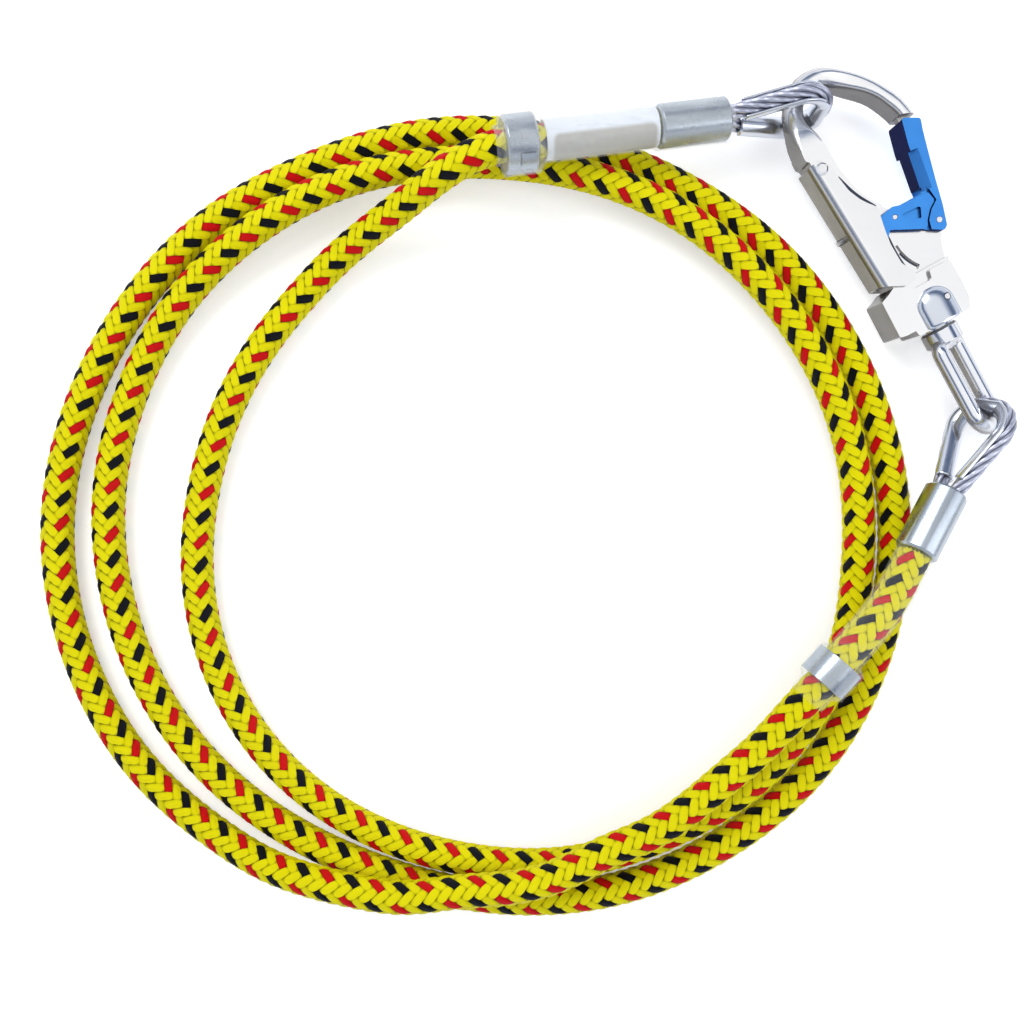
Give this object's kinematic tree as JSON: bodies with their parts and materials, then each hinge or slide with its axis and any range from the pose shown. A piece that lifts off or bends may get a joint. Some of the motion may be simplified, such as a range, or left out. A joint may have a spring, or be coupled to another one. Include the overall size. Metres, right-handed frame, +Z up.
{
  "type": "tree climbing lanyard",
  "caption": "Wire-core climbing lanyard, its braided rope coiled flat, with a swaged wire eye at each end joined by a swivel snap hook with a sprung gate.",
  "frame": {"origin": "middle of the underside of the fittings' bounding box, on the floor that the coil lies on", "axes": "+Z up from the floor, +X to the right of the coil as seen from above, +Y away from the viewer, towards the hook's bow"},
  "size_m": [0.3987, 0.348, 0.0449],
  "materials": {
    "rope": "braided polyester, lightly glossy",
    "steel": "galvanised wire rope",
    "zinc": "bright zinc plate",
    "satin": "satin",
    "polished": "polished",
    "blue": "blue anodised, satin",
    "clear": "clear heat-shrink sleeve",
    "label": "matt white film"
  },
  "bodies": {
    "lanyard": {"rope_cover": "rope", "wire_core": "steel", "swage_sleeve_a": "satin", "swage_sleeve_b": "satin", "wire_eye_a": "steel", "wire_eye_b": "steel", "thimble_a": "zinc", "thimble_b": "zinc", "crimp_band_a": "satin", "crimp_band_b": "satin", "clear_sleeve_a": "clear", "clear_sleeve_b": "clear", "label_band": "label"},
    "hook": {"hook_body": "polished", "gate_pivot_pin": "polished", "lever_rivet": "polished", "swivel_cap": "polished", "swivel_washer": "zinc"},
    "gate": {"gate": "blue", "trigger_pin_front": "polished", "trigger_pin_back": "polished"},
    "trigger": {"trigger_front": "blue", "trigger_back": "blue"},
    "lever": {"lock_lever": "polished", "lever_stop_pin": "zinc"},
    "swivel": {"swivel_eye": "polished"}
  },
  "joints": [
    {"name": "hook_roll", "type": "hinge", "parent": "lanyard", "child": "hook", "pos_m": [0.0407, 0.0039, 0.0116], "axis": [-0.489, 0.8713, 0.0419], "range_deg": [-2, 2]},
    {"name": "swivel_turn", "type": "hinge", "parent": "hook", "child": "swivel", "pos_m": [0.0407, 0.0039, 0.0116], "axis": [-0.489, 0.8713, 0.0419], "range_deg": [-3, 3]},
    {"name": "gate_pivot", "type": "hinge", "parent": "hook", "child": "gate", "pos_m": [0.04238, 0.0383, 0.01282], "axis": [0.0205, -0.0365, 0.9991], "range_deg": [0, 26], "stiffness_Nm_per_rad": 0.05},
    {"name": "trigger_pivot", "type": "hinge", "parent": "gate", "child": "trigger", "pos_m": [0.02434, 0.03918, 0.01323], "axis": [0.0205, -0.0365, 0.9991], "range_deg": [0, 4], "stiffness_Nm_per_rad": 0.02},
    {"name": "lever_pivot", "type": "hinge", "parent": "hook", "child": "lever", "pos_m": [-0.00616, 0.05757, 0.01452], "axis": [0.0205, -0.0365, 0.9991], "range_deg": [0, 3], "stiffness_Nm_per_rad": 0.05}
  ]
}
